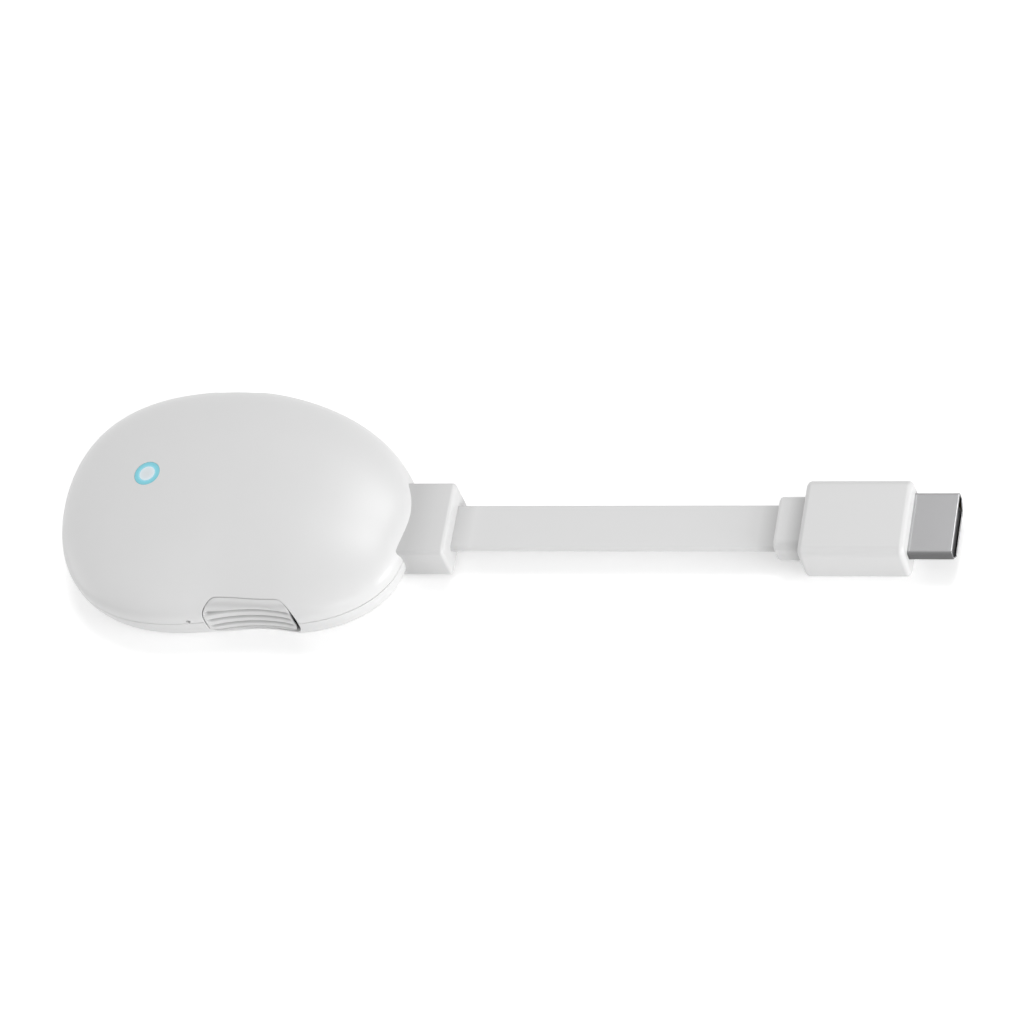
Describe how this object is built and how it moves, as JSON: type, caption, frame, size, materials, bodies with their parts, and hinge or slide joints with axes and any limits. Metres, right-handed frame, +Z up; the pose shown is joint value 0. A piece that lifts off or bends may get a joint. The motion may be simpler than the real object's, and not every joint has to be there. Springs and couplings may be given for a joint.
{
  "type": "streaming stick",
  "caption": "Pebble-shaped streaming stick with a ribbed side button, a light ring, a power inlet and a short flat cable that ends in a video plug.",
  "frame": {"origin": "on the surface that the stick lies on, under the middle of the box round the case and its cable block", "axes": "+X from the case along the cable to the plug, +Y from the ribbed button to the power inlet, +Z up through the dome"},
  "size_m": [0.1872, 0.0546, 0.0143],
  "materials": {
    "case_white": "satin moulded plastic",
    "button_white": "satin moulded plastic",
    "light_guide": "clear plastic that glows pale cyan",
    "ring_cap_white": "satin translucent plastic",
    "cable_white": "smooth soft jacket",
    "grip_white": "satin moulded plastic",
    "plug_steel": "plated sheet steel",
    "contact_gold": "gold plated",
    "insulator_black": "moulded black plastic",
    "switch_black": "moulded black plastic",
    "board_green": "lacquered glass fibre board",
    "chip_black": "moulded chip body",
    "part_tan": "sintered ceramic",
    "led_white": "clear resin",
    "sheet_tin": "tinned sheet steel",
    "screw_steel": "zinc plated",
    "spreader_aluminium": "plain",
    "pad_grey": "soft filled silicone",
    "copper": "tinned copper in a thin jacket"
  },
  "bodies": {
    "case": {"upper_shell": "case_white", "lower_shell": "case_white", "light_ring": "light_guide", "ring_cap": "ring_cap_white", "light_shroud": "insulator_black", "ring_led": "led_white", "main_board": "board_green", "board_screws": "screw_steel", "button_switch": "switch_black", "reset_switch": "switch_black", "power_inlet_shell": "plug_steel", "power_inlet_tongue": "insulator_black", "power_inlet_contacts": "contact_gold", "processor": "chip_black", "memory_chip": "chip_black", "flash_chip": "chip_black", "thermal_pad": "pad_grey", "shield_fence": "sheet_tin", "shield_lid": "sheet_tin", "heat_spreader": "spreader_aluminium", "radio_module": "sheet_tin", "antenna_left": "sheet_tin", "antenna_right": "sheet_tin", "power_converter": "chip_black", "inductors": "chip_black", "capacitors": "part_tan", "crystal": "sheet_tin", "board_connector": "insulator_black", "cable_leads": "copper", "cable_block": "grip_white", "flat_cable": "cable_white", "plug_collar": "cable_white", "plug_grip": "grip_white", "plug_shell": "plug_steel", "plug_insulator": "insulator_black", "plug_contacts_upper": "contact_gold", "plug_contacts_lower": "contact_gold", "plug_can": "sheet_tin", "crimp_ferrule": "sheet_tin", "plug_wires": "copper"},
    "button": {"side_button": "button_white"},
    "switch_plunger": {"button_switch_plunger": "switch_black"},
    "reset_plunger": {"reset_switch_plunger": "switch_black"}
  },
  "joints": [
    {"name": "button_press", "type": "slide", "parent": "case", "child": "button", "axis": [0, 1, 0], "range_m": [0, 0.00035], "stiffness_N_per_m": 800},
    {"name": "switch_press", "type": "slide", "parent": "case", "child": "switch_plunger", "axis": [0, 1, 0], "range_m": [0, 0.00035]},
    {"name": "reset_press", "type": "slide", "parent": "case", "child": "reset_plunger", "axis": [0, 1, 0], "range_m": [0, 0.00025], "stiffness_N_per_m": 200}
  ],
  "couplings": [
    {"joint": "switch_press", "follows": "button_press", "ratio": 1}
  ]
}
